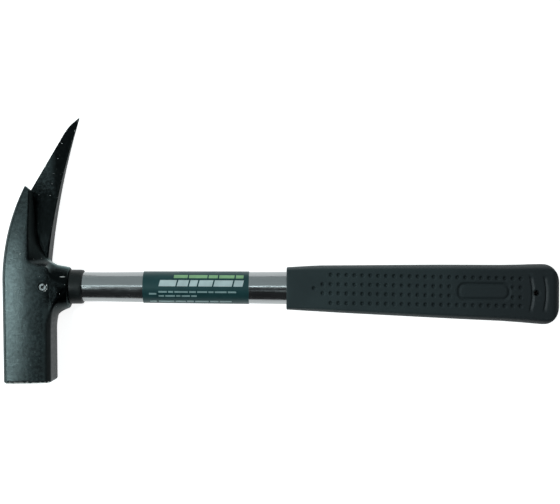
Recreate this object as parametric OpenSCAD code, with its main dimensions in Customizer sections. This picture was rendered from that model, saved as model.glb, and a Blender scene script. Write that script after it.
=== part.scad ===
// Roofing hammer lying on its side: claw head, tapered steel tube handle and moulded grip.
// X runs along the handle towards the grip, Y along the head towards the spike, Z is the thickness.
// The origin lies on the floor under the point where the handle axis crosses the head.

/* [Head] */
// Thickness between the two flat cheeks
head_t = 28; // [26:0.5:30]
// Radius of the long curve on the outer side
back_r = 131; // [126:0.5:138]
// Handle axis to the start of that curve
back_start = 4.5; // [3:0.5:6]

/* [Poll] */
// Width of the square poll
poll_w = 28; // [26:0.5:29]
// Handle axis to the striking face
poll_reach = 58; // [50:0.5:66]
// Lean of the poll towards the grip, in degrees
poll_lean = 1.3; // [0:0.1:2.5]
// Chamfer along the poll's long edges
poll_chamfer = 2.8; // [1:0.1:4]
// Chamfer round the striking face
face_chamfer = 1.3; // [0.5:0.1:2]

/* [Claw] */
// Handle axis to the tip of the long spike
spike_reach = 103.6; // [100:0.1:108]
// Handle axis to the start of the spike's straight back
spike_start = 46; // [44:0.5:50]
// Offset of the spike's tip towards the grip
spike_hook = 28.5; // [26:0.5:30]
// Hollow of the spike's inner edge
spike_hollow = 1.95; // [0.5:0.05:3]
// Thickness of the spike at its tip
spike_tip_t = 2; // [1:0.1:4]
// Rise of the spike's far face at its tip
spike_rise = 5; // [2:0.1:7]
// Handle axis to the tip of the short claw
tine_reach = 60.6; // [57:0.1:63]
// Width of the short claw's ground end
tine_end = 3.6; // [2.5:0.1:5]
// Thickness of the short claw at its tip
tine_tip_t = 3.8; // [2.5:0.1:5]
// Handle axis to the bottom of the nail notch
notch_y = 32; // [29:0.5:35]
// Opening of the nail notch at the short claw's tip
notch_gap = 9.6; // [8.6:0.1:11]

/* [Boss] */
// Handle end of the boss that holds the tube
boss_end = 24.8; // [23:0.1:26]
// Radius of the boss at its root
boss_root_r = 13.7; // [13.2:0.1:14]
// Radius of the boss at its end
boss_end_r = 11.7; // [11.2:0.1:12.5]
// Fillet between the boss and the claw
claw_fillet = 4.9; // [3:0.1:6]
// Fillet between the boss and the poll
poll_fillet = 5.6; // [3:0.1:6]

/* [Handle] */
// Outer diameter of the tube in the head
tube_d = 18; // [17:0.1:19]
// Outer diameter of the tube in the grip
tube_grip_d = 20; // [19.5:0.1:20.5]
// Wall of the tube
tube_wall = 2; // [1.5:0.1:3]
// Far end of the tube, inside the grip
tube_end = 290; // [270:1:292]
// Diameter of the spring pin through head and tube
pin_d = 4.8; // [4:0.1:5.5]
// Head centre to the spring pin, along the handle
pin_x = 10.5; // [9:0.5:12]
// Outer diameter of the plastic collar
collar_d = 20.8; // [20.4:0.1:23]
// Length of the plastic collar
collar_l = 8.2; // [5:0.1:12]

/* [Label] */
// Start of the wrapped label
label_start = 69.8; // [60:0.1:75]
// Length of the wrapped label
label_l = 64; // [50:0.5:75]
// Thickness of the label
label_t = 0.3; // [0.2:0.05:0.5]

/* [Grip] */
// Start of the grip
grip_start = 156.6; // [150:0.1:165]
// End of the grip
grip_end = 321.5; // [318:0.5:330]
// Rounding at the grip's end
grip_round = 8; // [5:0.5:9]
// Height and thickness of the grip at its start
grip_d = 25.8; // [25:0.1:27]
// Squareness of the grip's section, where 2 is an oval
grip_square = 4; // [3:0.1:5]
// Depth of the flared heel below the handle axis
heel_depth = 20.8; // [19:0.1:23]
// Height of the grip's end above the handle axis
crown_height = 15.8; // [15:0.1:18]
// Diameter of the hanging hole
hang_d = 3.4; // [3:0.1:6]
// Depth of the two grooves round the grip's end
groove_depth = 0.9; // [0.5:0.1:1.2]

/* [Hidden] */
$fn = 96;
cut = 1;                       // overrun of every cutting shape
slip = 0.05;                   // radial gap of a piece that slides over another
axis_z = head_t / 2;
tube_r = tube_d / 2;
bore_r = tube_r - tube_wall;

// Head: places on its side outline
body_side = 14.2;
taper_y = 25;
spike_drop = 2.5;
back_x = -poll_w / 2 - back_start * sin(poll_lean);
back_centre = [back_x + back_r, back_start];
back_end = [circle_x(back_centre, back_r, spike_start), spike_start];
spike_tip = [spike_hook, spike_reach];
spike_back = spike_tip - [7.5, 6.3];
spike_root = [11.4, 21.7];
tine_inner = [tine_end - 0.9, tine_reach - tine_end];
tine_root = [3.6, 33];
tine_crease_x = 1.4;
tine_edge_z = 18;
web_end = [body_side, 13];
thin = 0.3;                    // width left at the ends of both claws

// Handle: outer radius of the tube at places along its length
tube_start = 0.7 - poll_w / 2;
tube_profile = [[tube_start, tube_r], [46, tube_r], [70, tube_r + 0.38], [135, tube_r + 0.7],
                [grip_start, tube_grip_d / 2], [tube_end, tube_grip_d / 2]];

// Grip: half sizes of its section at places along its length
ring_points = 48;
body_rings = 22;
end_rings = 8;
panel_x = 290;
heel_x = 312;
grip_up = [[grip_start, grip_d / 2], [176, 14.1], [226, 14.7], [287, 15.1], [heel_x, crown_height]];
grip_down = [[grip_start, grip_d / 2], [176, 13.9], [226, 16.3], [287, 18.9], [heel_x, heel_depth]];
grip_side = [[grip_start, grip_d / 2], [panel_x, axis_z + 0.6]];
start_round = 1;
hang_x = 306.1;
hang_y = -1.7;
groove_w = 1.3;
groove_xs = [302.2, 310.3];
groove_core = 11.6;

function arc(centre, r, from, to, n) = [for (i = [0:n]) let (a = from + (to - from) * i / n)
    centre + r * [cos(a), sin(a)]];

// The x at height y on the line through p and q, and on the left side of a circle
function line_x(p, q, y) = p[0] + (q[0] - p[0]) * (y - p[1]) / (q[1] - p[1]);
function circle_x(centre, r, y) = centre[0] - sqrt(r * r - pow(y - centre[1], 2));

// The x at height y on the circle that passes through p and q and bows by sag towards -X
function bow_x(p, q, sag, y) = let (
    chord = norm(q - p),
    r = (chord * chord / 4 + sag * sag) / (2 * sag),
    across = [q[1] - p[1], p[0] - q[0]] / chord)
    circle_x((p + q) / 2 + (r - sag) * across, r, y);

// Outer side of the head: straight poll, then the long curve to the short claw's tip
function outer_x(y) = y < back_start ? back_x + (back_start - y) * tan(poll_lean)
    : circle_x(back_centre, back_r, y);

// The same for the far half, where a straight spike with a bevelled tip leaves the curve
function back_side_x(y) = y < back_end[1] ? outer_x(y)
    : y < spike_back[1] ? line_x(back_end, spike_back, y)
    : line_x(spike_back, spike_tip - [thin, 0], y);

// Inner side of the far half, down the spike to the boss
function spike_x(y) = y < web_end[1] ? outer_x(y) + poll_w
    : y < spike_root[1] ? line_x(web_end, spike_root, y)
    : bow_x(spike_root, spike_tip, spike_hollow, y);

// Inner side of the near half, down the short claw to the boss
function tine_x(y) = y < web_end[1] ? outer_x(y) + poll_w
    : y < tine_root[1] ? bow_x(web_end, tine_root, spike_hollow, y)
    : y < tine_inner[1] ? line_x(tine_root, tine_inner, y)
    : line_x(tine_inner, [outer_x(tine_reach) + thin, tine_reach], y);

// Skins a row of rings that have the same number of points
module loft(rings) {
    n = len(rings[0]);
    last = len(rings) - 1;
    sides = [for (k = [0:last - 1], i = [0:n - 1], half = [0, 1]) let (
        a = k * n + i,
        b = k * n + (i + 1) % n)
        half == 0 ? [a, b, b + n] : [a, b + n, a + n]];
    start = [[for (i = [n - 1:-1:0]) i]];
    end = [[for (i = [0:n - 1]) last * n + i]];
    polyhedron([for (ring = rings) each ring], concat(sides, start, end));
}

// Turns a profile of [radius, x] points round the handle axis
module turned(points) {
    translate([0, 0, axis_z])
        rotate([0, 90, 0])
            rotate_extrude()
                polygon(points);
}

// A hollow piece that follows the tube, between two places along it, from one gap to another
module sleeve(x0, x1, inner, outer) {
    stops = concat([x0], [for (p = tube_profile) if (p[0] > x0 && p[0] < x1) p[0]], [x1]);
    outside = [for (x = stops) [lookup(x, tube_profile) + outer, x]];
    inside = [for (i = [len(stops) - 1:-1:0]) [lookup(stops[i], tube_profile) + inner, stops[i]]];
    turned(concat(outside, inside));
}

// One ring across half of the head; the two corners on its cheek are cut by c
function half_ring(y, x0, x1, z0, z1, c, near) = let (
    near_side = near ? [[x1, z1 - c], [x1 - c, z1], [x0 + c, z1], [x0, z1 - c]]
                     : [[x1, z1], [x0, z1]],
    far_side = near ? [[x0, z0], [x1, z0]]
                    : [[x0, z0 + c], [x0 + c, z0], [x1 - c, z0], [x1, z0 + c]])
    [for (p = concat(near_side, far_side)) [p[0], y, p[1]]];

function ring_chamfer(width) = min(poll_chamfer, width / 3);
function steps(from, to, n) = [for (i = [1:n]) from + (to - from) * i / n];

// The far half of the head: poll, eye and long spike
module spike_half() {
    far_z = [[taper_y, 0], [spike_reach, spike_rise]];
    near_z = [[notch_y, axis_z], [tine_reach, axis_z - spike_drop],
              [spike_reach, spike_rise + spike_tip_t]];
    ys = concat([face_chamfer - poll_reach, 0, back_start, web_end[1]],
                steps(web_end[1], spike_root[1], 3), steps(spike_root[1], spike_back[1], 20),
                [spike_reach]);
    face = half_ring(-poll_reach, outer_x(-poll_reach) + face_chamfer,
                     spike_x(-poll_reach) - face_chamfer, face_chamfer, axis_z, poll_chamfer, false);
    loft(concat([face], [for (y = ys) let (z0 = lookup(y, far_z), z1 = lookup(y, near_z))
        half_ring(y, back_side_x(y), spike_x(y), z0, z1,
                  ring_chamfer(min(spike_x(y) - back_side_x(y), z1 - z0)), false)]));
}

// The near half of the head: poll, eye and short claw
module tine_half() {
    tip_low = axis_z - spike_drop + notch_gap;
    slope = (tip_low - axis_z) / (tine_reach - notch_y);
    far_z = [[0, axis_z - notch_y * slope], [tine_reach, tip_low]];
    near_z = [[taper_y, head_t], [tine_reach, tip_low + tine_tip_t]];
    ys = concat([face_chamfer - poll_reach, 0, back_start, web_end[1]],
                steps(web_end[1], tine_root[1], 8), steps(tine_root[1], tine_inner[1], 8),
                [tine_reach]);
    face = half_ring(-poll_reach, outer_x(-poll_reach) + face_chamfer,
                     tine_x(-poll_reach) - face_chamfer, lookup(0, far_z), head_t - face_chamfer,
                     poll_chamfer, true);
    bevel = [[tine_crease_x, head_t + cut], [tine_crease_x, head_t - 1.2],
             [tine_root[0], tine_edge_z], [body_side, tine_edge_z], [body_side, head_t + cut]];
    difference() {
        loft(concat([face], [for (y = ys)
            half_ring(y, outer_x(y), tine_x(y), lookup(y, far_z), lookup(y, near_z),
                      ring_chamfer(tine_x(y) - outer_x(y)), true)]));
        translate([0, tine_reach + cut, 0])
            rotate([90, 0, 0])
                linear_extrude(tine_reach - notch_y + 2 * cut)
                    polygon(bevel);
    }
}

// The boss flares into the head with one fillet on the claw's side and one on the poll's side
module boss_side(fillet, up) {
    corner = [boss_root_r + fillet, body_side - 2.6 + fillet];
    flare = arc(corner, fillet, 270, 180, 8);
    profile = concat([[0, 0], [corner[0] + 3, 0], [corner[0] + 3, corner[1] - fillet]], flare,
                     [[boss_root_r, 18], [boss_end_r, boss_end], [0, boss_end]]);
    intersection() {
        turned(profile);
        translate([0, up ? 0 : -30, 0])
            cube([40, 30, head_t]);
    }
}

module hammer_head() {
    color("darkslategray")
        difference() {
            union() {
                spike_half();
                tine_half();
                boss_side(claw_fillet, true);
                boss_side(poll_fillet, false);
            }
            translate([-poll_w, 0, axis_z])
                rotate([0, 90, 0])
                    cylinder(r = tube_r + slip, h = poll_w + boss_end + cut);
            translate([pin_x, 0, -cut])
                cylinder(d = pin_d + 2 * slip, h = head_t + 2 * cut);
        }
}

module handle_tube() {
    color("silver")
        difference() {
            sleeve(tube_start, tube_end, -tube_wall, 0);
            translate([pin_x, 0, -cut])
                cylinder(d = pin_d + 2 * slip, h = head_t + 2 * cut);
        }
}

// Slotted spring pin, just below the surface of both cheeks
module cross_pin() {
    sink = 0.4;
    wall = 1.5;
    slot = 0.8;
    color("gainsboro")
        translate([pin_x, 0, sink])
            difference() {
                cylinder(d = pin_d, h = head_t - 2 * sink);
                translate([0, 0, -cut])
                    cylinder(d = pin_d - 2 * wall, h = head_t + cut);
                translate([0, -slot / 2, -cut])
                    cube([pin_d, slot, head_t + cut]);
            }
}

// Plug that closes the tube's head end
module eye_plug() {
    lead = 1;
    plug_end = pin_x - pin_d / 2 - 2.5;
    color("dimgray")
        turned([[0, tube_start + 0.6], [bore_r - slip, tube_start + 0.6],
                [bore_r - slip, plug_end - lead], [bore_r - slip - lead, plug_end], [0, plug_end]]);
}

// Plastic ring between the boss and the bare tube
module head_collar() {
    lip = 0.8;
    r = collar_d / 2;
    end = boss_end + collar_l;
    color("black")
        turned([[tube_r + slip, boss_end], [r, boss_end], [r, end - lip], [r - lip / 2, end - lip / 4],
                [r - lip, end], [tube_r + slip, end]]);
}

module label() {
    color("darkcyan")
        sleeve(label_start, label_start + label_l, 0, label_t);
}

// One ring of the grip: a squared-off oval, drawn in by inset all round
function grip_ring(x, inset) = let (
    up = lookup(x, grip_up) - inset,
    down = lookup(x, grip_down) - inset,
    side = lookup(x, grip_side) - inset,
    power = 2 / grip_square)
    [for (i = [0:ring_points - 1]) let (c = cos(360 * i / ring_points), s = sin(360 * i / ring_points))
        [x, sign(s) * pow(abs(s), power) * (s > 0 ? up : down),
         axis_z + sign(c) * pow(abs(c), power) * side]];

// The grip's outer body, lofted through its rings
module grip_body() {
    body_end = grip_end - grip_round;
    body_xs = [for (i = [0:body_rings]) grip_start + start_round
               + (body_end - grip_start - start_round) * i / body_rings];
    round_as = [for (i = [1:end_rings]) 90 * i / end_rings];
    loft(concat(
        [grip_ring(grip_start, start_round)],
        [for (x = body_xs) grip_ring(x, 0)],
        [for (a = round_as) grip_ring(body_end + grip_round * sin(a), grip_round * (1 - cos(a)))]));
}

module grip() {
    color("darkslategray")
        difference() {
            intersection() {
                grip_body();
                translate([0, -40, 0])
                    cube([400, 80, head_t]);
            }
            translate([grip_start - cut, 0, axis_z])
                rotate([0, 90, 0])
                    cylinder(d = tube_grip_d + 2 * slip, h = tube_end - grip_start + cut + slip);
            translate([hang_x, hang_y, -cut])
                cylinder(d = hang_d, h = head_t + 2 * cut);
            for (x = groove_xs, z = [-cut, head_t - groove_depth])
                translate([x - groove_w / 2, hang_y - groove_core, z])
                    cube([groove_w, 2 * groove_core, groove_depth + cut]);
        }
}

// Cap that closes the tube's far end, inside the grip
module tube_end_plug() {
    plug_l = 14;
    lead = 1;
    r = tube_grip_d / 2 - tube_wall - slip;
    color("dimgray")
        turned([[0, tube_end - plug_l], [r - lead, tube_end - plug_l],
                [r, tube_end - plug_l + lead], [r, tube_end], [0, tube_end]]);
}

hammer_head();
handle_tube();
cross_pin();
eye_plug();
head_collar();
label();
grip();
tube_end_plug();
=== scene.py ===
import math

import bpy
import numpy as np
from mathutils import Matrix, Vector


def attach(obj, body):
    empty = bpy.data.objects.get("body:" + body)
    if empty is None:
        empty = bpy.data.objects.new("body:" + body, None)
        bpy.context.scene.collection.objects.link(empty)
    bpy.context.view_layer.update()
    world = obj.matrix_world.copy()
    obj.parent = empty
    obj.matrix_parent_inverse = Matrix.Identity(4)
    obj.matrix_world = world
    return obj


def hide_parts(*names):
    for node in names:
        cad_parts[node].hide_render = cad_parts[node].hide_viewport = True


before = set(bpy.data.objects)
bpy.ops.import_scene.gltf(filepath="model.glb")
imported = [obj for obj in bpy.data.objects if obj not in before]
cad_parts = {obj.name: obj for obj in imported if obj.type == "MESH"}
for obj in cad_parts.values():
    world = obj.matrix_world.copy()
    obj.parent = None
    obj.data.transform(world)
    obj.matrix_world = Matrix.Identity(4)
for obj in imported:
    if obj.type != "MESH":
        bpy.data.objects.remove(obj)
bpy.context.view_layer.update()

# Lengths below are in millimetres and become metres when a mesh is made.
MM = 0.001
AXIS_Z = 14.0            # height of the handle axis above the floor
THICK = 28.0             # thickness of the head
SHARP_DEG = 30.0         # on turned and printed pieces, edges that turn more than this stay sharp


# ---------------------------------------------------------------- meshes

def ride(piece, node):
    """The piece stands for a CAD node: it joins the root body, and the node's imported mesh is hidden."""
    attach(piece, "root")
    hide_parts(node)
    return piece


def make_piece(name, points, faces, materials, sharp_deg=None):
    """A mesh object from points in millimetres."""
    mesh = bpy.data.meshes.new(name)
    mesh.from_pydata([tuple(p) for p in np.asarray(points, float) * MM], [], faces)
    mesh.update()
    for material in materials:
        mesh.materials.append(material)
    mesh.shade_smooth()
    if sharp_deg is not None:
        mesh.set_sharp_from_angle(angle=math.radians(sharp_deg))
    piece = bpy.data.objects.new(name, mesh)
    bpy.context.scene.collection.objects.link(piece)
    return piece


def make_dense_piece(name, points, quads, materials):
    """The same, filled from arrays, for meshes with many faces."""
    mesh = bpy.data.meshes.new(name)
    mesh.vertices.add(len(points))
    mesh.vertices.foreach_set("co", (np.asarray(points) * MM).astype(np.float32).ravel())
    mesh.loops.add(quads.size)
    mesh.loops.foreach_set("vertex_index", quads.astype(np.int32).ravel())
    mesh.polygons.add(len(quads))
    mesh.polygons.foreach_set("loop_start", np.arange(0, quads.size, 4, dtype=np.int32))
    mesh.update(calc_edges=True)
    mesh.validate()
    for material in materials:
        mesh.materials.append(material)
    mesh.shade_smooth()
    piece = bpy.data.objects.new(name, mesh)
    bpy.context.scene.collection.objects.link(piece)
    return piece


def store(piece, name, values):
    """Keeps one number for each point of the mesh, for its material to read."""
    attribute = piece.data.attributes.new(name, "FLOAT", "POINT")
    attribute.data.foreach_set("value", np.asarray(values, np.float32))


def lathe(name, profile, material, segments):
    """Turns a closed profile of (x, radius) points round the handle axis."""
    angles = np.linspace(0, 2 * math.pi, segments, endpoint=False)
    points, rings = [], []
    for x, r in profile:
        if r < 1e-6:
            rings.append([len(points)])
            points.append((x, 0, AXIS_Z))
            continue
        rings.append(list(range(len(points), len(points) + segments)))
        points += [(x, r * math.cos(a), AXIS_Z + r * math.sin(a)) for a in angles]
    faces = []
    closed = len(rings[0]) > 1 and len(rings[-1]) > 1
    pairs = list(zip(rings, rings[1:] + rings[:1])) if closed else list(zip(rings, rings[1:]))
    for a, b in pairs:
        for i in range(segments):
            j = (i + 1) % segments
            if len(a) == 1:
                faces.append((a[0], b[j], b[i]))
            elif len(b) == 1:
                faces.append((a[i], a[j], b[0]))
            else:
                faces.append((a[i], a[j], b[j], b[i]))
    return make_piece(name, points, faces, [material], SHARP_DEG)


def rounded(profile, radius, steps):
    """Rounds every corner of a closed profile of (x, r) points, apart from those on the axis."""
    out = []
    count = len(profile)
    for i, corner in enumerate(profile):
        p = np.array(corner, float)
        if corner[1] < 1e-6:
            out.append(tuple(p))
            continue
        before = np.array(profile[i - 1], float) - p
        after = np.array(profile[(i + 1) % count], float) - p
        reach = min(radius, np.linalg.norm(before) / 2.2, np.linalg.norm(after) / 2.2)
        a = p + before / np.linalg.norm(before) * reach
        b = p + after / np.linalg.norm(after) * reach
        for t in np.linspace(0, 1, steps + 1):
            out.append(tuple((1 - t) ** 2 * a + 2 * t * (1 - t) * p + t * t * b))
    return out


# ---------------------------------------------------------------- solids from distances

def smooth_max(a, b, k):
    """The larger of a and b, rounded where they come within k of each other."""
    h = np.maximum(k - np.abs(a - b), 0) / k
    return np.maximum(a, b) + h * h * k / 4


def smooth_min(a, b, k):
    """The smaller of a and b, rounded in the same way."""
    return -smooth_max(-a, -b, k)


def bevel_max(a, b, bevel, k):
    """Where a and b meet, their edge is cut by a bevel, and the two new edges are rounded by k."""
    return smooth_max(smooth_max(a, b, k), (a + b + bevel) / math.sqrt(2), k)


def surface_nets(values, low, step):
    """Meshes the zero level of a grid: a point in each cell that it crosses, a quad for each edge."""
    inside = values < 0
    cells = tuple(n - 1 for n in values.shape)
    total = np.zeros(cells + (3,), np.float32)
    hits = np.zeros(cells, np.int32)
    crossings = []
    for axis in range(3):
        u, v = [i for i in range(3) if i != axis]
        first = [slice(None)] * 3
        second = [slice(None)] * 3
        first[axis], second[axis] = slice(0, -1), slice(1, None)
        a, b = values[tuple(first)], values[tuple(second)]
        cross = inside[tuple(first)] != inside[tuple(second)]
        at = np.argwhere(cross)
        at = at[(at[:, u] > 0) & (at[:, v] > 0) & (at[:, u] < cells[u]) & (at[:, v] < cells[v])]
        i, j, k = at.T
        t = a[i, j, k] / (a[i, j, k] - b[i, j, k])
        where = at.astype(np.float32)
        where[:, axis] += t
        for du in (0, 1):
            for dv in (0, 1):
                cell = at.copy()
                cell[:, u] -= du
                cell[:, v] -= dv
                np.add.at(total, tuple(cell.T), where)
                np.add.at(hits, tuple(cell.T), 1)
        crossings.append((axis, u, v, at, inside[tuple(first)][i, j, k]))
    index = np.full(cells, -1, np.int64)
    active = hits > 0
    index[active] = np.arange(active.sum())
    points = total[active] / hits[active][:, None] * step + np.asarray(low)
    quads = []
    for axis, u, v, at, starts_inside in crossings:
        around = []
        for du, dv in ((0, 0), (1, 0), (1, 1), (0, 1)):
            cell = at.copy()
            cell[:, u] -= du
            cell[:, v] -= dv
            around.append(index[tuple(cell.T)])
        quad = np.stack(around, 1)
        turn = starts_inside if axis != 1 else ~starts_inside
        quad[~turn] = quad[~turn][:, ::-1]
        quads.append(quad)
    return points.astype(float), np.concatenate(quads)


def slope_of(distance, points, h=0.05):
    """The direction in which a distance grows fastest, at each point."""
    out = np.empty_like(points)
    for axis in range(3):
        shift = np.zeros(3)
        shift[axis] = h
        out[:, axis] = (distance(*(points + shift).T) - distance(*(points - shift).T)) / (2 * h)
    return out


def mesh_solid(distance, low, high, step, rounds=3):
    """Meshes a solid given by its distance, and pulls every point onto its surface."""
    axes = [np.arange(a, b + step, step) for a, b in zip(low, high)]
    grid = np.empty(tuple(len(a) for a in axes), np.float32)
    for i, x in enumerate(axes[0]):
        grid[i] = distance(np.float64(x), axes[1][:, None], axes[2][None, :])
    points, quads = surface_nets(grid, low, step)
    for _ in range(rounds):
        slope = slope_of(distance, points)
        size = np.maximum((slope ** 2).sum(1), 0.05)
        move = -(distance(*points.T) / size)[:, None] * slope
        limit = 0.3 * step / np.maximum(np.linalg.norm(move, axis=1), 1e-9)
        points += move * np.minimum(limit, 1)[:, None]
    return points, quads


# ---------------------------------------------------------------- the head

LEAN = math.radians(1.3)             # the poll leans towards the grip
BACK_R = 131.0                       # radius of the head's long outer curve
BACK_START = 4.5                     # where that curve begins, above the leaning poll
BACK_X = -14.0 - BACK_START * math.sin(LEAN)
BACK_C = (BACK_X + BACK_R, BACK_START)
SPIKE_START = (-7.3, 46.0)           # where the spike's straight back leaves that curve
SPIKE_BACK = (21.3, 97.9)            # where its back turns to the tip
SPIKE_TIP = (28.8, 104.6)
SPIKE_ROOT = (11.7, 21.7)            # lower end of its hollow inner edge
SPIKE_HOLLOW = 1.95
TINE_TIP = (-1.5, 61.2)              # ends of the short claw's ground end
TINE_INNER = (3.4, 57.0)
POLL_FACE = -58.0
POLL_SIDE = 13.65                    # the poll's side towards the grip
POLL_TOP = 12.5
FACE_BEVEL = 1.1
BOSS_END = 24.8
BOSS_DROP = 0.5                      # the boss sits this much below the handle axis
PIN_X = 10.5
PIN_R = 2.45
EYE_R = 9.05
CROWN, CROWN_END = 0.0046, 14.0      # fall of the near cheek towards its two sides
CHEEK_FALL = 3.0                     # its fall towards the short claw's end
CHEEK_FALL_FROM, CHEEK_FALL_LENGTH = 2.0, 58.6
HEAD_LOW, HEAD_HIGH = (-16.1, -60.1, -1.3), (29.3, 104.6, 29.2)  # the box it is meshed in
HEAD_STEP = 0.5                      # the spacing of its mesh
EDGE_REACH = 0.9                     # how far from an edge its wear is felt

# Places along the head, and what it measures there. The boss is measured along X, the rest along Y.
TINE_EDGE = ([-60, 13, 15, 18, 22, 26.5, 31.3, 36, 40.4, 57, 70],
             [13.6, 13.6, 11.9, 9.5, 7.1, 5.1, 4.2, 3.9, 3.8, 3.4, 3.0])
CREASE = ([2, 9, 16, 60], [17, 8, 1.6, 1.4])
SPIKE_NEAR = ([0, 32, 60.6, 103.3], [14, 14, 11.5, 7])
SPIKE_SPLIT = ([32, 60.6], [14, 16.3])
TINE_FAR = ([0, 32, 60.6, 80], [6, 14, 21.1, 26])
FAR_CHEEK = ([-60, 25, 103.3, 120], [0, 0, 5, 6.1])
LEFT_BEVEL = ([-12, 30, 62, 100], [1.3, 1.1, 0.9, 0.6])
RIGHT_BEVEL = ([-22, -12, 14, 30, 100], [2.4, 0, 0, 0.7, 0.4])
BOSS_RADIUS = ([0, 15, 18, 22, 24.8, 40], [13.7, 13.7, 13.55, 12.9, 12.3, 8.5])
BOSS_FILLET = ([-6, 6], [13, 5.5])
CLAW_FILLET = ([-6, 12], [5, 4.2])


def smooth_step(a, b, x):
    """Goes smoothly from 0 to 1 as x goes from a to b."""
    t = np.clip((x - a) / (b - a), 0, 1)
    return t * t * (3 - 2 * t)


def bow_circle(p, q, sag):
    """Centre and radius of the circle through p and q that bows by sag towards -X."""
    p, q = np.array(p), np.array(q)
    chord = np.linalg.norm(q - p)
    r = (chord ** 2 / 4 + sag ** 2) / (2 * sag)
    across = np.array([q[1] - p[1], p[0] - q[0]]) / chord
    return (p + q) / 2 + (r - sag) * across, r


SPIKE_C, SPIKE_R = bow_circle(SPIKE_ROOT, SPIKE_TIP, SPIKE_HOLLOW)


def beyond_line(p, q, x, y):
    """How far x, y lies to the left of the line from p up to q."""
    run, rise = q[0] - p[0], q[1] - p[1]
    return (-(x - p[0]) * rise + (y - p[1]) * run) / math.hypot(run, rise)


def outer_side(x, y, z):
    """Beyond the head's outer side: leaning poll, long curve, and on the far half the spike."""
    poll = -(x - BACK_X) * math.cos(LEAN) + (BACK_START - y) * math.sin(LEAN)
    curve = np.hypot(x - BACK_C[0], y - BACK_C[1]) - BACK_R
    side = np.where(y < BACK_START, poll, curve)
    eased_side = side - 0.5 * np.maximum(y - SPIKE_START[1] - 2, 0)
    spike = smooth_max(eased_side, beyond_line(SPIKE_START, SPIKE_BACK, x, y), 3)
    spike = smooth_max(spike, beyond_line(SPIKE_BACK, SPIKE_TIP, x, y), 1.5)
    return np.where(z < np.interp(y, *SPIKE_SPLIT), spike, side)


def tine_side(x, y):
    """Beyond the short claw's inner side and ground end."""
    edge = np.interp(y, *TINE_EDGE)
    end = -beyond_line(TINE_INNER, TINE_TIP, x, y)
    return smooth_max(x - edge, end, 0.4), edge


def head_distance(x, y, z):
    """Distance to the head's surface, below 0 inside it."""
    outer = outer_side(x, y, z)

    # spike: inner edge and near face
    inner = SPIKE_R - np.hypot(x - SPIKE_C[0], y - SPIKE_C[1])
    near_face = z - np.interp(y, *SPIKE_NEAR)
    spike = smooth_max(inner, near_face, 0.7)

    # short claw: inner edge, far face and the long bevel beside its crease
    side, edge = tine_side(x, y)
    far_face = np.interp(y, *TINE_FAR) - z
    crease = np.interp(y, *CREASE)
    run = np.maximum(edge - crease, 0.4)
    bevel = ((x - crease) * 10 + (z - THICK + 0.4) * run) / np.sqrt(100 + run * run)
    tine = smooth_max(smooth_max(side, far_face, 0.6), bevel, 0.9)
    claws = smooth_min(spike, tine, 1.6)

    # bar through poll and eye, with the boss on its side
    bar = smooth_max((x - POLL_SIDE) * math.cos(LEAN) + (y + 3) * math.sin(LEAN), y - POLL_TOP, 3)
    cone = np.hypot(y + BOSS_DROP, z - AXIS_Z) - np.interp(x, *BOSS_RADIUS)
    boss = smooth_max(cone, x - BOSS_END, 0.9)
    body = smooth_min(bar, boss, np.interp(y, *BOSS_FILLET))
    inside = smooth_min(claws, body, np.interp(y, *CLAW_FILLET))

    # cheeks, and the bevels where they meet the two sides
    far_cheek = np.interp(y, *FAR_CHEEK) - z
    crown = CROWN * np.minimum(x, CROWN_END) ** 2
    along = np.maximum(y - CHEEK_FALL_FROM, 0) / CHEEK_FALL_LENGTH
    near_cheek = z - THICK + CHEEK_FALL * along ** 2 + crown
    left_bevel = np.interp(y, *LEFT_BEVEL)
    right_bevel = np.interp(y, *RIGHT_BEVEL)
    solid = bevel_max(inside, far_cheek, right_bevel, 0.7)
    solid = bevel_max(solid, near_cheek, right_bevel, 0.7)
    solid = smooth_max(solid, outer, 0.7)
    for cheek in (far_cheek, near_cheek):
        solid = smooth_max(solid, (outer + cheek + left_bevel) / math.sqrt(2), 0.9)

    # striking face, square to the leaning poll
    face = (x - 1) * math.sin(LEAN) + (POLL_FACE - y) * math.cos(LEAN)
    solid = bevel_max(solid, face, FACE_BEVEL, 0.5)

    # eye and pin hole, each with a small lead
    lead = 0.5 * np.maximum(1 - np.abs(x + 14.2) / 0.7, 0)
    eye = np.minimum(EYE_R + lead - np.hypot(y, z - AXIS_Z), 5)
    pin = PIN_R - np.hypot(x - PIN_X, y)
    pin = pin + 0.45 * np.maximum(1 - np.minimum(z, THICK - z) / 0.6, 0)
    return smooth_max(smooth_max(solid, eye, 0.25), pin, 0.25)


def hammer_head(material):
    """The head, with how sharp its surface is and how far it faces the grip kept for its material."""
    points, quads = mesh_solid(head_distance, HEAD_LOW, HEAD_HIGH, HEAD_STEP)
    piece = make_dense_piece("head", points, quads, [material])
    curve = -6 * head_distance(*points.T)
    for axis in range(3):
        for sign in (-1, 1):
            shift = np.zeros(3)
            shift[axis] = sign * EDGE_REACH
            curve += head_distance(*(points + shift).T)
    store(piece, "edge", np.clip(curve / EDGE_REACH, -1, 2))
    store(piece, "side", slope_of(head_distance, points)[:, 0])
    return ride(piece, "hammer_head")


# ---------------------------------------------------------------- the handle

TUBE_START, TAPER_START, TUBE_END = -13.3, 46.0, 290.0
GRIP_START = 156.6
TUBE_RADII = ([TUBE_START, TAPER_START, 70, 135, GRIP_START, TUBE_END], [9.0, 9.0, 9.38, 9.7, 10.0, 10.0])
TUBE_WALL = 2.0
ROUND_SEGMENTS = 192                 # round the tube and its label
COLLAR_SEGMENTS, PLUG_SEGMENTS = 160, 96


def tube_radius(x):
    return float(np.interp(x, *TUBE_RADII))


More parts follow.
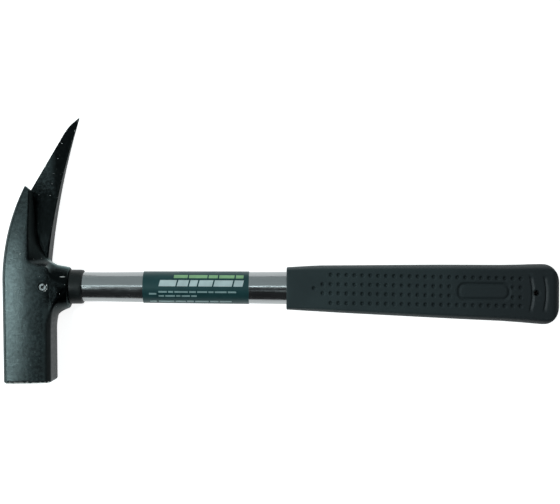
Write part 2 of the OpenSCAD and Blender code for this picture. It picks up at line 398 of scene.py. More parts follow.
def handle_tube(material):
    """The tapered tube, with both of its ends rounded over."""
    stops = [TUBE_START] + list(np.linspace(TAPER_START, GRIP_START, 24)) + [TUBE_END]
    outside = [(x, tube_radius(x)) for x in stops]
    inside = [(x, r - TUBE_WALL) for x, r in reversed(outside)]
    ends = rounded([outside[0], outside[-1], inside[0], inside[-1]], 0.35, 3)
    quarter = len(ends) // 4
    profile = ends[:quarter] + outside[1:-1] + ends[quarter:3 * quarter]
    profile += inside[1:-1] + ends[3 * quarter:]
    piece = lathe("tube", profile, material, ROUND_SEGMENTS)
    return ride(piece, "handle_tube")


def head_collar(material):
    start, end = 24.85, 33.0
    profile = [(start, 9.05), (start, 10.35), (start + 1.2, 10.42), (end - 1.6, 10.4),
               (end, 10.2), (end, 9.05)]
    piece = lathe("collar", rounded(profile, 0.55, 5), material, COLLAR_SEGMENTS)
    return ride(piece, "head_collar")


def eye_plug(material):
    """A ribbed plug with a shallow dish in its end."""
    profile = [(-12.6, 0), (-12.6, 3.4), (-13.0, 4.2), (-13.0, 6.6), (-12.4, 6.93)]
    for x in range(-10, 4, 3):
        profile += [(x, 6.93), (x + 0.5, 6.5), (x + 1.2, 6.5), (x + 1.7, 6.93)]
    profile += [(4.6, 6.7), (5.4, 5.9), (5.4, 0)]
    return ride(lathe("eye_plug", profile, material, PLUG_SEGMENTS), "eye_plug")


def tube_end_plug(material):
    """A cap with one groove round it, flush with the tube's far end."""
    profile = [(276, 0), (276, 6.9), (277, 7.9), (281, 7.95), (281.4, 7.6), (283, 7.6),
               (283.4, 7.95), (289.6, 7.95), (TUBE_END, 7.6), (TUBE_END, 0)]
    piece = lathe("tube_end_plug", profile, material, PLUG_SEGMENTS)
    return ride(piece, "tube_end_plug")


def cross_pin(material):
    """A slotted spring pin: a C of spring steel with tapered ends."""
    radius, bore, half_slot = 2.4, 0.95, 0.35
    slot = math.asin(half_slot / radius)
    turn = 0.9
    angles = np.linspace(turn + slot, turn + 2 * math.pi - slot, 40)
    levels = [(0.45, 2.05), (0.75, 2.28), (1.3, radius), (26.7, radius), (27.25, 2.28), (27.55, 2.05)]
    points, rings = [], []
    for z, r in levels:
        rings.append(range(len(points), len(points) + 2 * len(angles)))
        outer = [(PIN_X + r * math.cos(a), r * math.sin(a), z) for a in angles]
        inner = [(PIN_X + bore * math.cos(a), bore * math.sin(a), z) for a in reversed(angles)]
        points += outer + inner
    faces = []
    n = 2 * len(angles)
    for a, b in zip(rings, rings[1:]):
        faces += [(a[i], a[(i + 1) % n], b[(i + 1) % n], b[i]) for i in range(n)]
    for i in range(len(angles) - 1):
        low, high = rings[0], rings[-1]
        faces.append((low[i + 1], low[i], low[n - 1 - i], low[n - 2 - i]))
        faces.append((high[i], high[i + 1], high[n - 2 - i], high[n - 1 - i]))
    piece = make_piece("cross_pin", points, faces, [material], 40)
    return ride(piece, "cross_pin")


# ---------------------------------------------------------------- the label

LABEL_X = (69.8, 133.8)              # where the label starts and ends
LABEL_T = 0.28                       # thickness of the film
INK_T = 0.05                         # thickness of the print on it


def label_sleeve(material):
    stops = np.linspace(*LABEL_X, 9)
    outside = [(x, tube_radius(x) + LABEL_T) for x in stops]
    inside = [(x, tube_radius(x) + 0.01) for x in reversed(stops)]
    piece = lathe("label", outside + inside, material, ROUND_SEGMENTS)
    return ride(piece, "label")


def on_label(x, y, lift):
    """A point above the label, y to the side of the handle axis on its near side."""
    r = tube_radius(x) + LABEL_T
    a = math.asin(max(-0.999, min(0.999, y / r)))
    return x, (r + lift) * math.sin(a), AXIS_Z + (r + lift) * math.cos(a)


def ink_patch(x0, x1, y0, y1, slant=0.0, rows=4):
    """Points and faces of one printed bar: a thin curved slab with a slanted pair of ends."""
    columns = max(2, int((x1 - x0) / 2))
    points, faces = [], []
    for lift in (0.0, INK_T):
        for i in range(rows + 1):
            y = y0 + (y1 - y0) * i / rows
            for j in range(columns + 1):
                x = x0 + (x1 - x0) * j / columns + slant * (y - y0)
                points.append(on_label(x, y, lift))
    row, layer = columns + 1, (rows + 1) * (columns + 1)
    for i in range(rows):
        for j in range(columns):
            a = i * row + j + layer
            faces.append((a, a + 1, a + row + 1, a + row))
    rim = list(range(row)) + [i * row + columns for i in range(1, rows + 1)]
    rim += [rows * row + j for j in range(columns - 1, -1, -1)]
    rim += [i * row for i in range(rows - 1, 0, -1)]
    for a, b in zip(rim, rim[1:] + rim[:1]):
        faces.append((a, b, b + layer, a + layer))
    return points, faces


def ink_row(name, patches, material):
    """Joins printed bars into one piece."""
    points, faces = [], []
    for patch_points, patch_faces in patches:
        start = len(points)
        points += patch_points
        faces += [tuple(start + i for i in face) for face in patch_faces]
    piece = make_piece(name, points, faces, [material], SHARP_DEG)
    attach(piece, "root")
    return piece


def blocks(x0, x1, y0, y1, widths, gap, slant):
    """A row of plain bars that fills the stretch from x0 to x1, with the given relative widths."""
    scale = (x1 - x0 - gap * (len(widths) - 1)) / sum(widths)
    out, x = [], x0
    for width in widths:
        out.append(ink_patch(x, x + width * scale, y0, y1, slant))
        x += width * scale + gap
    return out


def label_print(lime, white, pale):
    """Plain bars in three sizes, in place of the label's print."""
    top = blocks(88.5, 130.5, 5.8, 7.6, [9, 12, 6, 10, 5], 0.8, 0.1)
    ink_row("print_top_bars", top, lime)
    wide = blocks(79.5, 130.0, 0.9, 4.6, [11, 7, 5, 9, 12, 6], 0.9, 0.25)
    ink_row("print_wide_bars", wide, white)
    fine = blocks(79.5, 126.3, -3.0, -2.0, [5, 3, 8, 4, 6, 3, 7, 5], 0.8, 0)
    fine += blocks(79.5, 102.5, -5.4, -4.5, [4, 7, 3, 6, 4], 0.8, 0)
    fine += blocks(79.5, 123.4, -8.7, -7.9, [9, 6, 4, 8, 5, 7], 0.8, 0)
    fine += [ink_patch(74.0, 78.0, -8.7, -7.9), ink_patch(73.8, 78.2, -4.2, -3.2)]
    ink_row("print_fine_bars", fine, pale)


# ---------------------------------------------------------------- the grip

GRIP_END = 321.8
END_LENGTH = 9.4                     # how far the grip's end curves back
END_THICK = 6.5                      # how much of that also thins its two sides
END_POWER = 2.3                      # 2 would end it in an ellipse, more is squarer
# The grip's outline: places along X, and how far it reaches from the handle axis there.
UP = ([156.6, 163, 171, 177, 201, 226, 250, 287, 299, 306, 311, 315],
      [12.7, 13.1, 13.6, 13.9, 14.2, 14.5, 14.8, 14.9, 15.2, 15.5, 15.6, 15.6])
DOWN = ([156.6, 171, 177, 189, 201, 226, 250, 262, 287, 299, 311, 315],
        [13.1, 13.9, 14.2, 14.85, 15.4, 16.55, 17.65, 18.2, 19.2, 20.0, 21.0, 21.1])
SIDE = ([156.6, 180, 290, 315], [12.7, 13.2, 13.95, 13.95])
UP_ROUND = ([GRIP_START, 175, 320], [2.0, 2.6, 3.4])
DOWN_ROUND = ([GRIP_START, 175, 320], [2.0, 2.8, 3.6])
DOT_PITCH = 4.73
DOT_START, DOT_END = 183.1, 297.0
DOT_COLUMNS = 25
# Y of each row of dimples, at DOT_START and at DOT_END.
DOT_ROWS = ((8.43, 6.8), (2.74, 1.35), (-2.59, -4.4), (-8.46, -9.55))
LEAD_DOTS = ((173.0, 0.3), (178.2, 2.7), (178.2, -2.6))  # X and Y of the three before the rows
DOT_R = 1.3
DOT_DEPTH = 1.25
DETAIL_START = 170.2                 # the grip is plain before this, and finely meshed after it
PAD = (259.1, 290.2, -6.05, 4.05)    # low and high X, then low and high Y
PAD_ROUND = 4.3                      # radius of its corners
PAD_GROOVE, PAD_GROOVE_W = 0.9, 0.8  # depth and width of the groove round it
END_GROOVES = ((301.7, 1.75), (310.1, 1.6))  # start and bow of the two grooves
GROOVE_DEPTH = 0.9
GROOVE_MIDDLE, GROOVE_HALF = -2.2, 11.2      # Y of their middle, and half their length
GROOVE_STEEP, GROOVE_LONG = 0.6, 1.7         # lengths of a groove's two walls
HANG = (306.1, -1.7, 1.7)            # X, Y and radius of the hanging hole
GRIP_BORE = 10.04                    # radius of the bore that takes the tube
BORE_END = 290.05
BORE_LEAD = 0.3


def dot_row_y(row, x):
    """Where a row of dimples runs: the rows spread with the grip towards its end."""
    return np.interp(x, [DOT_START, DOT_END], DOT_ROWS[row])


def dot_centres():
    """Three leading dimples, then four rows, of which the middle two stop for the pad."""
    places = list(LEAD_DOTS)
    for column in range(DOT_COLUMNS):
        x = DOT_START + column * DOT_PITCH
        for row in range(4):
            beside_pad = row in (1, 2) and PAD[0] - 3 < x < PAD[1] + 1
            if not beside_pad:
                places.append((x, float(dot_row_y(row, x))))
    return places


def side_relief(x, y):
    """How far the grip's side lies below its plain panel, at arrays of places on it."""
    depth = np.zeros_like(x)
    for cx, cy in dot_centres():
        near = (np.abs(x - cx) < 2) & (np.abs(y - cy) < 2)
        away = np.hypot(x[near] - cx, y[near] - cy) / DOT_R
        bowl = DOT_DEPTH * (1 - smooth_step(0.35, 1.1, away))
        depth[near] = np.maximum(depth[near], bowl)
    cx, cy = (PAD[0] + PAD[1]) / 2, (PAD[2] + PAD[3]) / 2
    qx = np.abs(x - cx) - (PAD[1] - PAD[0]) / 2 + PAD_ROUND
    qy = np.abs(y - cy) - (PAD[3] - PAD[2]) / 2 + PAD_ROUND
    pad = np.hypot(np.maximum(qx, 0), np.maximum(qy, 0)) + np.minimum(np.maximum(qx, qy), 0)
    pad -= PAD_ROUND
    depth += PAD_GROOVE * np.exp(-((pad + 0.5) / PAD_GROOVE_W) ** 2)
    depth += 0.15 * smooth_step(0.2, -1.2, pad)
    along = np.clip(np.abs(y - GROOVE_MIDDLE) / GROOVE_HALF, 0, 1)
    for start, bow in END_GROOVES:
        past = x - start - bow * (1 - along ** 2)
        wall = np.where(past > 0, 1 - past / GROOVE_LONG, 1 + past / GROOVE_STEEP)
        depth += GROOVE_DEPTH * smooth_step(1.0, 0.82, along) * np.clip(wall, 0, 1)
    hang = np.hypot(x - HANG[0], y - HANG[1])
    depth += 0.35 * smooth_step(HANG[2] + 0.7, HANG[2] - 0.1, hang)
    return depth


def grip_section(x, tall, thick):
    """One ring of the grip: two flat panels for the dimples, and a crowned back and belly.

    tall and thick, both 1 along its length, shrink it towards its two ends.
    """
    up = np.interp(x, *UP)
    down = np.interp(x, *DOWN)
    side = np.interp(x, *SIDE) * thick
    middle = (up - down) / 2 * (1 - tall)
    up, down = up * tall + middle, down * tall - middle
    edge_up = up - np.interp(x, *UP_ROUND) * tall
    edge_down = down - np.interp(x, *DOWN_ROUND) * tall
    rows = [float(dot_row_y(row, x)) * tall + middle for row in range(4)]
    stops = [edge_up] + rows + [-edge_down]
    counts = [12, 14, 14, 14, 12]
    panel = np.concatenate([np.linspace(a, b, n, endpoint=False)
                            for a, b, n in zip(stops, stops[1:], counts)])
    around = np.linspace(0, math.pi, 25)[:-1]
    belly_y = -edge_down - (down - edge_down) * np.sin(around)
    back_y = edge_up + (up - edge_up) * np.sin(around)
    crown = np.cos(around)
    far_panel = -edge_down + (edge_up - panel)
    y = np.concatenate([panel, belly_y, far_panel, back_y])
    flat = np.full(len(panel), side)
    z = np.concatenate([flat, side * crown, -flat, -side * crown])
    return np.stack([np.full(len(y), x), y, z], 1), len(panel), len(around)


def oval(t):
    """Height of the grip's end curve, 1 at t = 0 and 0 at t = 1."""
    return (1 - min(t, 1.0) ** END_POWER) ** (1 / END_POWER)


def grip_mesh():
    """Points and faces of the grip: rings from its start to its end, and a blind bore."""
    lip = 0.5
    body_end = GRIP_END - END_LENGTH
    plain = list(np.linspace(GRIP_START + lip, DETAIL_START, 14))[:-1]
    fine = list(np.arange(DETAIL_START, body_end, DOT_PITCH / 12))
    stations = [(GRIP_START, 0.962, 0.962), (GRIP_START + 0.15, 0.989, 0.989)]
    stations += [(x, 1.0, 1.0) for x in plain + fine]
    for a in np.linspace(0.04, 0.494, 26) * math.pi:
        x = body_end + END_LENGTH * math.sin(a)
        thinning = max(0.0, (x - GRIP_END + END_THICK) / END_THICK)
        stations.append((x, oval(math.sin(a)), oval(thinning)))
    rings = []
    for x, tall, thick in stations:
        ring, panel, arc = grip_section(x, tall, thick)
        relief = np.zeros(len(ring))
        for start in (0, panel + arc):
            part = slice(start, start + panel + 1)
            relief[part] = side_relief(ring[part, 0], ring[part, 1])
        ring[:, 2] -= np.sign(ring[:, 2]) * relief
        rings.append(ring)

    # the bore for the tube, from its blind end out to the grip's start
    first, middle = rings[0], rings[-1][:, 1:].mean(0)
    turn = np.arctan2(first[:, 1], first[:, 2])
    bore = ((GRIP_START, GRIP_BORE + BORE_LEAD), (GRIP_START + BORE_LEAD, GRIP_BORE),
            (BORE_END, GRIP_BORE))
    for x, r in bore:
        rings.insert(0, np.stack([np.full(len(turn), x), r * np.sin(turn), r * np.cos(turn)], 1))
    points = np.concatenate(rings + [np.array([[BORE_END, 0, 0], [GRIP_END, *middle]])])
    points[:, 2] += AXIS_Z
    n = len(first)
    k = np.arange(len(rings) - 1)[:, None] * n
    i = np.arange(n)[None, :]
    j = (i + 1) % n
    quads = np.stack([k + i, k + n + i, k + n + j, k + j], -1).reshape(-1, 4)
    first_cap = [(a, (a + 1) % n, len(points) - 2) for a in range(n)]
    start = (len(rings) - 1) * n
    last_cap = [(start + (a + 1) % n, start + a, len(points) - 1) for a in range(n)]
    return points, [tuple(q) for q in quads] + first_cap + last_cap


def drill(piece, x, y, r):
    """Drills a hole through the thickness."""
    count = 48
    below, above = -5.0, THICK + 5.0
    angles = np.linspace(0, 2 * math.pi, count, endpoint=False)
    ring = [(x + r * math.cos(a), y + r * math.sin(a)) for a in angles]
    points = [(px, py, below) for px, py in ring] + [(px, py, above) for px, py in ring]
    faces = [tuple(reversed(range(count))), tuple(range(count, 2 * count))]
    faces += [(i, (i + 1) % count, count + (i + 1) % count, count + i) for i in range(count)]
    cutter = make_piece("cutter", points, faces, [])
    cut = piece.modifiers.new("drill", "BOOLEAN")
    cut.operation = "DIFFERENCE"
    cut.solver = "EXACT"
    cut.object = cutter
    bpy.context.view_layer.objects.active = piece
    bpy.ops.object.modifier_apply(modifier=cut.name)
    bpy.data.objects.remove(cutter)


def grip(material):
    points, faces = grip_mesh()
    piece = make_piece("grip", points, faces, [material])
    drill(piece, *HANG)
    piece.data.shade_smooth()
    piece.data.set_sharp_from_angle(angle=math.radians(42))
    return ride(piece, "grip")


# ---------------------------------------------------------------- materials

PAINT = (0.010, 0.015, 0.016)
PAINT_DARK = (0.006, 0.008, 0.0085)
PAINT_PALE = (0.024, 0.032, 0.033)
# darkest colour of the head's painted shade
PAINTED_SHADE_BLACK = (0.0012, 0.0016, 0.0017)
BARE_DARK, BARE_PALE = (0.36, 0.36, 0.35), (0.72, 0.71, 0.69)
TUBE_DARK, TUBE_PALE, TUBE_SPECK = (0.25, 0.26, 0.265), (0.34, 0.35, 0.35), (0.2, 0.2, 0.19)
PIN_BRIGHT, PIN_OXIDE = (0.13, 0.14, 0.14), (0.05, 0.05, 0.05)
RUBBER = (0.024, 0.036, 0.038)
RUBBER_DARK = (0.019, 0.029, 0.031)
# the rubber's colour in the painted shade towards the grip's end
RUBBER_SHADED_END = (0.014, 0.018, 0.020)
RUBBER_SCUFFED = (0.038, 0.050, 0.053)
COLLAR_BLACK, PLUG_BLACK = (0.005, 0.007, 0.007), (0.012, 0.013, 0.013)
LABEL_TEAL = (0.008, 0.037, 0.040)
LIME_INK, WHITE_INK, PALE_INK = (0.22, 0.40, 0.20), (0.44, 0.52, 0.52), (0.22, 0.32, 0.32)

# Small spots of bare steel on the head's near side: the place of each, and its reach along X, Y and Z.
BARE_SPOTS = (((9.0, 15.7, 27.5), (0.5, 0.4, 2)), ((-2.95, 19.8, 27.8), (0.35, 0.3, 2)),
         ((21.9, 6.2, 24), (2.0, 0.35, 4)), ((18.1, 87.8, 9), (0.35, 0.3, 3)))


class Finish:
    """A procedural material, with its texture coordinates in millimetres."""

    def __init__(self, name, **sockets):
        self.material = bpy.data.materials.new(name)
        self.material.use_nodes = True
        self.tree = self.material.node_tree
        self.shader = self.tree.nodes["Principled BSDF"]
        for key, value in sockets.items():
            self.set(key.replace("_", " "), value)
        metres = self.add("ShaderNodeTexCoord").outputs["Object"]
        self.place = self.vector("SCALE", {0: metres, "Scale": 1 / MM})

    def set(self, key, value):
        self.plug(self.shader.inputs[key], value)

    def plug(self, socket, value):
        if isinstance(value, bpy.types.NodeSocket):
            self.tree.links.new(value, socket)
        else:
            socket.default_value = value

    def add(self, kind, inputs=None, **settings):
        node = self.tree.nodes.new(kind)
        for key, value in settings.items():
            setattr(node, key, value)
        for key, value in (inputs or {}).items():
            self.plug(node.inputs[key], value)
        return node

    def vector(self, operation, inputs, output=0):
        return self.add("ShaderNodeVectorMath", inputs, operation=operation).outputs[output]

    def stretched(self, sx, sy, sz):
        """Texture places scaled along each axis: below 1 draws a texture out."""
        return self.vector("MULTIPLY", {0: self.place, 1: (sx, sy, sz)})

    def away_from(self, place):
        return self.vector("SUBTRACT", {0: self.place, 1: place})

    def noise(self, size, detail=3.0, rough=0.55, place=None, offset=0.0):
        """A noise from 0 to 1 with features of about this many millimetres."""
        place = self.place if place is None else place
        if offset:
            place = self.vector("ADD", {0: place, 1: (offset, offset * 1.7, offset * 0.6)})
        inputs = {"Vector": place, "Scale": 1.0 / size, "Detail": detail, "Roughness": rough}
        return self.add("ShaderNodeTexNoise", inputs).outputs[0]

    def cells(self, size):
        """Distance to the nearest of many scattered points, about this many millimetres apart."""
        return self.add("ShaderNodeTexVoronoi", {"Vector": self.place, "Scale": 1.0 / size}).outputs[0]

    def ramp(self, value, low, high, out_low=0.0, out_high=1.0):
        """Goes smoothly from out_low to out_high as the value goes from low to high."""
        return self.add("ShaderNodeMapRange", {0: value, 1: low, 2: high, 3: out_low, 4: out_high},
                        interpolation_type="SMOOTHSTEP").outputs[0]

    def math(self, operation, a, b):
        return self.add("ShaderNodeMath", {0: a, 1: b}, operation=operation).outputs[0]

    def times(self, *values):
        """The product of two or more values."""
        product = values[0]
        for value in values[1:]:
            product = self.math("MULTIPLY", product, value)
        return product

    def most(self, *values):
        """The largest of two or more values."""
        largest = values[0]
        for value in values[1:]:
            largest = self.math("MAXIMUM", largest, value)
        return largest

    def plus(self, a, b):
        return self.math("ADD", a, b)

    def minus(self, a, b):
        return self.math("SUBTRACT", a, b)

    def axis(self, name):
        return self.add("ShaderNodeSeparateXYZ", {0: self.place}).outputs[name]

    def attribute(self, name):
        return self.add("ShaderNodeAttribute", attribute_name=name).outputs["Fac"]

    def mix(self, factor, a, b):
        """Mixes two colours."""
        node = self.add("ShaderNodeMix", data_type="RGBA")
        self.plug(node.inputs[0], factor)
        self.plug(node.inputs[6], a if isinstance(a, bpy.types.NodeSocket) else (*a, 1.0))
        self.plug(node.inputs[7], b if isinstance(b, bpy.types.NodeSocket) else (*b, 1.0))
        return node.outputs[2]

    def blend(self, factor, a, b):
        """Mixes two numbers."""
        return self.add("ShaderNodeMix", {0: factor, 2: a, 3: b}, data_type="FLOAT").outputs[0]

    def near(self, place, reach):
        """1 at a place, falling to 0 at the given reach along each axis."""
        scaled = self.vector("MULTIPLY", {0: self.away_from(place), 1: tuple(1 / r for r in reach)})
        return self.ramp(self.vector("LENGTH", {0: scaled}, "Value"), 1.0, 0.55)

    def bump(self, layers):
        """Stacks (height 0 to 1, millimetres of relief) layers into one bump."""
        normal = None
        for height, relief in layers:
            inputs = {"Strength": 1.0, "Distance": relief * MM, "Height": height}
            if normal is not None:
                inputs["Normal"] = normal
            normal = self.add("ShaderNodeBump", inputs).outputs[0]
        self.set("Normal", normal)


def head_finish():
    """Painted forged steel: mottled paint, painted shade in its recesses, on its boss and on the faces
    towards the grip, and worn edges.
    """
    f = Finish("painted forged steel", Specular_IOR_Level=0.28, Specular_Tint=(0.8, 1.0, 1.0, 1.0))
    x, y, z = f.axis("X"), f.axis("Y"), f.axis("Z")
    edge, side = f.attribute("edge"), f.attribute("side")
    broad = f.noise(9.0, 4.0)
    blotch = f.noise(2.0, 5.0, 0.65, offset=31.0)
    grain = f.noise(0.32, 2.0)
    pits = f.cells(1.3)

    # painted shade, very dark: the short claw's shadow in the hollow between the claws, and the boss and
    # the faces towards the grip, which are turned away from the lights
    ragged_y = f.plus(y, f.ramp(blotch, 0.3, 0.7, -4.0, 4.0))
    recess_shade = f.times(f.ramp(z, 20.5, 15.5), f.ramp(y, 13.0, 20.0), f.ramp(ragged_y, 74.0, 52.0))
    painted_shade = f.most(recess_shade, f.ramp(side, 0.25, 0.75), f.ramp(x, 10.0, 15.5))
    poll_side = f.times(f.ramp(x, 10.0, 13.5), f.ramp(y, -8.0, -16.0))

    # bare metal: worn corners of the striking face, rubbed edges, and a few small spots
    face_edge = f.ramp(f.plus(y, f.ramp(blotch, 0.3, 0.7, -0.5, 0.9)), -56.6, -57.3)
    ragged_edge = f.plus(edge, f.ramp(f.noise(3.1, 5.0, offset=7.0), 0.3, 0.8, -1.3, 0.2))
    rubbed = f.times(f.ramp(ragged_edge, 0.68, 0.86), f.ramp(side, 0.35, 0.05))
    specks = f.times(f.ramp(f.noise(0.9, 2.0, offset=3.0), 0.71, 0.76), f.ramp(broad, 0.5, 0.6))
    bare_spots = [f.near(place, reach) for place, reach in BARE_SPOTS]
    bare = f.most(face_edge, rubbed, specks, *bare_spots)

    paint = f.mix(f.ramp(broad, 0.35, 0.68), PAINT_DARK, PAINT)
    paint = f.mix(f.ramp(blotch, 0.45, 0.7, 0.0, 0.6), paint, PAINT_PALE)
    # painted shade: the paint goes very dark in the shaded zone
    paint = f.mix(painted_shade, paint, f.mix(f.ramp(blotch, 0.45, 0.8), PAINTED_SHADE_BLACK, PAINT_DARK))
    steel = f.mix(f.noise(1.1, 3.0, place=f.stretched(1, 0.15, 1)), BARE_DARK, BARE_PALE)
    f.set("Base Color", f.mix(bare, paint, steel))

    # painted shade: a dark metal mirrors less than paint does, so the shaded zone stays very dark
    dark_metal = f.times(painted_shade, f.minus(0.8, f.times(poll_side, 0.8)),
                    f.most(f.ramp(side, 0.95, 0.75), f.ramp(z, 14.0, 17.0)))
    f.set("Metallic", f.most(bare, dark_metal))

    painted = f.plus(f.ramp(blotch, 0.25, 0.75, 0.21, 0.33), f.ramp(grain, 0.2, 0.8, -0.03, 0.04))
    painted = f.blend(painted_shade, painted, f.ramp(blotch, 0.3, 0.7, 0.19, 0.27))
    dull = f.most(poll_side, f.ramp(side, 0.45, 0.85))
    painted = f.blend(dull, painted, f.ramp(blotch, 0.3, 0.7, 0.5, 0.62))
    f.set("Roughness", f.blend(bare, painted, f.ramp(grain, 0.2, 0.8, 0.4, 0.6)))
    f.bump([(broad, 0.15), (blotch, 0.05), (f.ramp(pits, 0.0, 0.35), 0.012), (grain, 0.008),
            (f.minus(1.0, bare), 0.06)])
    return f.material


def tube_finish():
    """Drawn bright steel, with fine lines along it, smudges and a few dull specks."""
    f = Finish("drawn bright steel", Metallic=1.0)
    lines = f.noise(0.35, 3.0, place=f.stretched(0.012, 1, 1))
    broad = f.noise(14.0, 3.0)
    smudge = f.noise(5.0, 5.0, 0.7, place=f.stretched(0.4, 1, 1), offset=12.0)
    specks = f.times(f.ramp(f.noise(0.6, 2.0, offset=5.0), 0.74, 0.8), f.ramp(smudge, 0.45, 0.6))
    f.set("Base Color", f.mix(specks, f.mix(lines, TUBE_DARK, TUBE_PALE), TUBE_SPECK))
    rough = f.plus(f.ramp(smudge, 0.3, 0.75, 0.13, 0.24), f.ramp(lines, 0.3, 0.7, 0.0, 0.05))
    f.set("Roughness", rough)
    f.bump([(lines, 0.004), (broad, 0.007)])
    return f.material


def rubber_finish():
    """Moulded rubber, scuffed where it is handled, with painted shade darkening it towards its end."""
    f = Finish("moulded rubber", Specular_IOR_Level=0.22)
    broad = f.noise(22.0, 4.0)
    grain = f.noise(0.28, 3.0, 0.7)
    scuff = f.noise(2.4, 5.0, 0.7, place=f.stretched(0.35, 1, 1), offset=4.0)
    handled = f.times(f.ramp(scuff, 0.55, 0.8), f.ramp(broad, 0.35, 0.7, 0.15, 0.6))
    colour = f.mix(f.ramp(broad, 0.3, 0.7), RUBBER_DARK, RUBBER)
    # painted shade: the rubber darkens towards the grip's end, away from the key light on the left
    colour = f.mix(f.ramp(f.axis("X"), 190.0, 330.0), colour, RUBBER_SHADED_END)
    f.set("Base Color", f.mix(handled, colour, RUBBER_SCUFFED))
    rough = f.plus(f.ramp(grain, 0.25, 0.75, 0.68, 0.8), f.times(handled, -0.1))

    # the long walls of the two end grooves came smooth out of the mould
    along = f.times(f.minus(f.axis("Y"), GROOVE_MIDDLE), 1 / GROOVE_HALF)
    along = f.times(along, along)
    for start, bow in END_GROOVES:
        past = f.plus(f.minus(f.axis("X"), start + bow), f.times(along, bow))
        wall = f.times(f.ramp(past, 0.1, 0.5), f.ramp(past, 1.9, 1.4), f.ramp(along, 1.0, 0.75))
        rough = f.blend(wall, rough, 0.45)
    f.set("Roughness", rough)
    f.bump([(broad, 0.08), (grain, 0.022)])
    return f.material


def plastic_finish(name, colour, rough):
    f = Finish(name, Specular_IOR_Level=0.22)
    broad = f.noise(4.0, 4.0)
    grain = f.noise(0.2, 2.0)
    pale = tuple(1.6 * c for c in colour)
    f.set("Base Color", f.mix(f.ramp(broad, 0.4, 0.75), colour, pale))
    f.set("Roughness", f.plus(f.ramp(broad, 0.3, 0.7, rough - 0.05, rough + 0.06),
                              f.ramp(grain, 0.3, 0.7, -0.02, 0.03)))
    f.bump([(broad, 0.03), (grain, 0.008)])
    return f.material


def pin_finish():
    f = Finish("spring steel", Metallic=1.0)
    dark_metal = f.noise(0.8, 4.0)
    f.set("Base Color", f.mix(f.ramp(dark_metal, 0.45, 0.7), PIN_BRIGHT, PIN_OXIDE))
    f.set("Roughness", f.ramp(dark_metal, 0.3, 0.7, 0.34, 0.5))
    f.bump([(f.noise(0.15, 2.0), 0.006), (dark_metal, 0.01)])
    return f.material


def film_finish(name, colour, rough=0.36):
    """Printed film or ink, with faint fibres and scuffs."""
    f = Finish(name, Specular_IOR_Level=0.3, Specular_Tint=(0.75, 1.0, 1.0, 1.0))
    cloud = f.noise(6.0, 4.0)
    fibre = f.noise(0.3, 2.0, place=f.stretched(0.3, 1, 1))
    scuff = f.ramp(f.noise(1.8, 5.0, 0.75, offset=9.0), 0.62, 0.75, 0.0, 0.35)
    dim = tuple(0.9 * c for c in colour)
    bright = tuple(1.08 * c for c in colour)
    worn = tuple(0.75 * c + 0.02 for c in colour)
    f.set("Base Color", f.mix(scuff, f.mix(f.ramp(cloud, 0.3, 0.7), dim, bright), worn))
    f.set("Roughness", f.plus(f.ramp(cloud, 0.3, 0.7, rough - 0.05, rough + 0.05),
                              f.times(scuff, 0.25)))
    f.bump([(fibre, 0.003), (cloud, 0.02)])
    return f.material


# ---------------------------------------------------------------- the object

hammer_head(head_finish())
handle_tube(tube_finish())
head_collar(plastic_finish("collar plastic", COLLAR_BLACK, 0.46))
plug_plastic = plastic_finish("plug plastic", PLUG_BLACK, 0.45)
eye_plug(plug_plastic)
tube_end_plug(plug_plastic)
cross_pin(pin_finish())
label_sleeve(film_finish("label film", LABEL_TEAL, 0.46))
label_print(film_finish("lime ink", LIME_INK), film_finish("white ink", WHITE_INK),
            film_finish("pale ink", PALE_INK))
grip(rubber_finish())


# ---------------------------------------------------------------- floor, light, camera

FLOOR_HALF = 4.0                                 # metres, as are all places below
GLOW_CENTRE = (152.0, 22.0, 0.0)                 # millimetres, as a material reads them
GLOW_FULL, GLOW_GONE = 235.0, 480.0
COOL = (0.86, 1.0, 1.02)
CAMERA_PLACE = (0.1525, 0.0219, 0.714)
CAMERA_TURN = 0.0062                             # the handle runs this much off level
CAMERA_LENS = 73.8
HEAD_PLACE = (0.0, 0.0, 0.0)


def look_at(thing, target):
    way = Vector(target) - thing.location
    thing.rotation_euler = way.to_track_quat("-Z", "Y").to_euler()


def softbox(name, place, target, size, radiance, tint=(1, 1, 1)):
    """A rectangular light, given by how bright its surface is."""
    data = bpy.data.lights.new(name, "AREA")
    data.shape = "RECTANGLE"
    data.size, data.size_y = size
    data.energy = radiance * math.pi * size[0] * size[1]
    data.color = tint
    lamp = bpy.data.objects.new(name, data)
    lamp.location = place
    bpy.context.scene.collection.objects.link(lamp)
    bpy.context.view_layer.update()
    look_at(lamp, target)


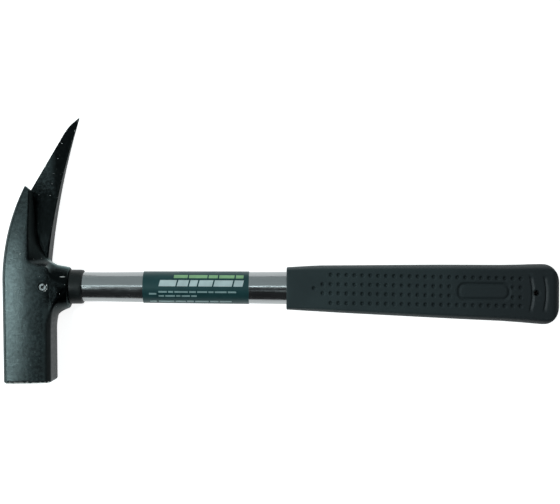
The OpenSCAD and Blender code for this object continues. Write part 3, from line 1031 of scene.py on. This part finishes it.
def floor_finish():
    """White paper, glowing under the object and falling off beyond the picture."""
    f = Finish("studio floor", Roughness=0.7, Specular_IOR_Level=0.0)
    length = f.vector("LENGTH", {0: f.away_from(GLOW_CENTRE)}, "Value")
    f.set("Base Color", f.mix(f.noise(60.0, 3.0), (0.60, 0.60, 0.60), (0.64, 0.64, 0.64)))
    f.set("Emission Color", (1, 1, 1, 1))
    f.set("Emission Strength", f.ramp(length, GLOW_FULL, GLOW_GONE, 0.90, 0.08))
    return f.material


corners = [(-1, -1), (1, -1), (1, 1), (-1, 1)]
floor_mesh = bpy.data.meshes.new("floor")
floor_mesh.from_pydata([(FLOOR_HALF * x, FLOOR_HALF * y, 0) for x, y in corners], [], [(0, 1, 2, 3)])
floor_mesh.materials.append(floor_finish())
floor = bpy.data.objects.new("floor", floor_mesh)
bpy.context.scene.collection.objects.link(floor)

softbox("key", (-0.50, -0.05, 1.0), HEAD_PLACE, (0.20, 0.40), 25.0, COOL)
softbox("left card", (-1.0, 0.0, 0.3), HEAD_PLACE, (0.8, 0.5), 5.0, COOL)
softbox("side bank", (0.15, 0.72, 0.62), (0.15, 0.02, 0.014), (1.8, 1.56), 0.60, COOL)
softbox("strip", (0.13, 0.24, 1.2), (0.18, 0.0, 0.014), (0.74, 0.07), 5.2, COOL)
softbox("thin strip", (0.34, -0.36, 1.2), (0.20, 0.0, 0.014), (0.5, 0.10), 0.9, COOL)

world = bpy.data.worlds.new("studio")
world.use_nodes = True
background = world.node_tree.nodes["Background"]
background.inputs["Color"].default_value = (0.9, 0.95, 1.0, 1)
background.inputs["Strength"].default_value = 0.04
scene = bpy.context.scene
scene.world = world
scene.view_settings.view_transform = "Standard"

camera_data = bpy.data.cameras.new("camera")
camera_data.sensor_width = 36.0
camera_data.lens = CAMERA_LENS
camera_data.clip_start = 0.01
camera = bpy.data.objects.new("camera", camera_data)
camera.location = CAMERA_PLACE
camera.rotation_euler = (0, 0, CAMERA_TURN)
scene.collection.objects.link(camera)
scene.camera = camera
